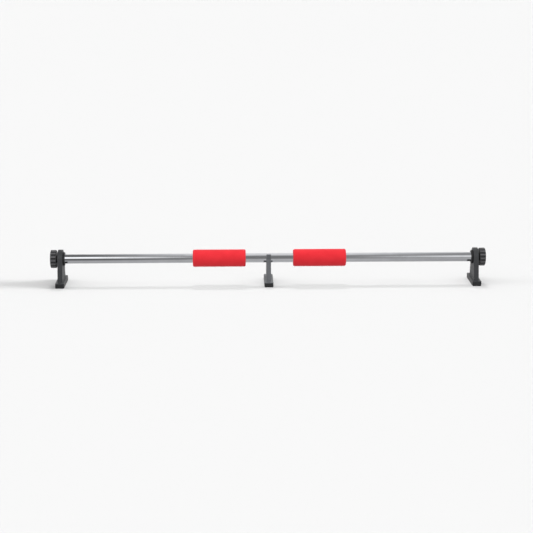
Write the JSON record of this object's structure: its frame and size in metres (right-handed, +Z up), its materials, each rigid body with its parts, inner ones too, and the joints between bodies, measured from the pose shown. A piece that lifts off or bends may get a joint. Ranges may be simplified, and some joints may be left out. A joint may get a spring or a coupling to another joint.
{
  "type": "pull-up bar",
  "caption": "Straight chromed bar held between A-shaped end brackets by fluted hand knobs, propped at mid-span by an open saddle post, with red foam grips.",
  "frame": {"origin": "on the standing plane of the feet, below the middle of the bar", "axes": "+X along the bar to the right, +Y to the back, across the feet, +Z up from the standing plane to the bar"},
  "size_m": [1.2588, 0.106, 0.102],
  "materials": {
    "bracket_paint": "satin",
    "chrome_tube": "polished",
    "red_foam": "matte",
    "black_plastic": "satin",
    "black_nylon": "matte",
    "pad_rubber": "matte",
    "zinc_steel": "satin"
  },
  "bodies": {
    "brackets": {"left_bracket": "bracket_paint", "left_bush": "black_nylon", "left_foot_pad": "pad_rubber", "right_bracket": "bracket_paint", "right_bush": "black_nylon", "right_foot_pad": "pad_rubber"},
    "centre_support": {"centre_support": "bracket_paint", "saddle_liner": "black_nylon", "centre_foot_pad": "pad_rubber"},
    "bar": {"bar_tube": "chrome_tube", "left_plug": "zinc_steel", "left_plug_pin": "zinc_steel", "left_grip": "red_foam", "right_plug": "zinc_steel", "right_plug_pin": "zinc_steel", "right_grip": "red_foam"},
    "left_washer": {"left_washer": "zinc_steel"},
    "left_knob": {"left_knob": "black_plastic", "left_stud": "zinc_steel", "left_knob_cap": "black_plastic"},
    "right_washer": {"right_washer": "zinc_steel"},
    "right_knob": {"right_knob": "black_plastic", "right_stud": "zinc_steel", "right_knob_cap": "black_plastic"}
  },
  "joints": [
    {"name": "bar_turn", "type": "hinge", "parent": "brackets", "child": "bar", "pos_m": [0, 0, 0.075], "axis": [1, 0, 0], "continuous": true},
    {"name": "centre_support_slide", "type": "slide", "parent": "brackets", "child": "centre_support", "axis": [1, 0, 0], "range_m": [-0.05, 0.05]},
    {"name": "left_knob_travel", "type": "slide", "parent": "bar", "child": "left_washer", "axis": [-1, 0, 0], "range_m": [0, 0.021]},
    {"name": "left_knob_turn", "type": "hinge", "parent": "left_washer", "child": "left_knob", "pos_m": [-0.6, 0, 0.075], "axis": [-1, 0, 0], "range_deg": [0, 4320]},
    {"name": "right_knob_travel", "type": "slide", "parent": "bar", "child": "right_washer", "axis": [1, 0, 0], "range_m": [0, 0.021]},
    {"name": "right_knob_turn", "type": "hinge", "parent": "right_washer", "child": "right_knob", "pos_m": [0.6, 0, 0.075], "axis": [1, 0, 0], "range_deg": [0, 4320]}
  ],
  "couplings": [
    {"joint": "left_knob_turn", "follows": "left_knob_travel", "rad_per_m": 3590.4},
    {"joint": "right_knob_turn", "follows": "right_knob_travel", "rad_per_m": 3590.4}
  ]
}
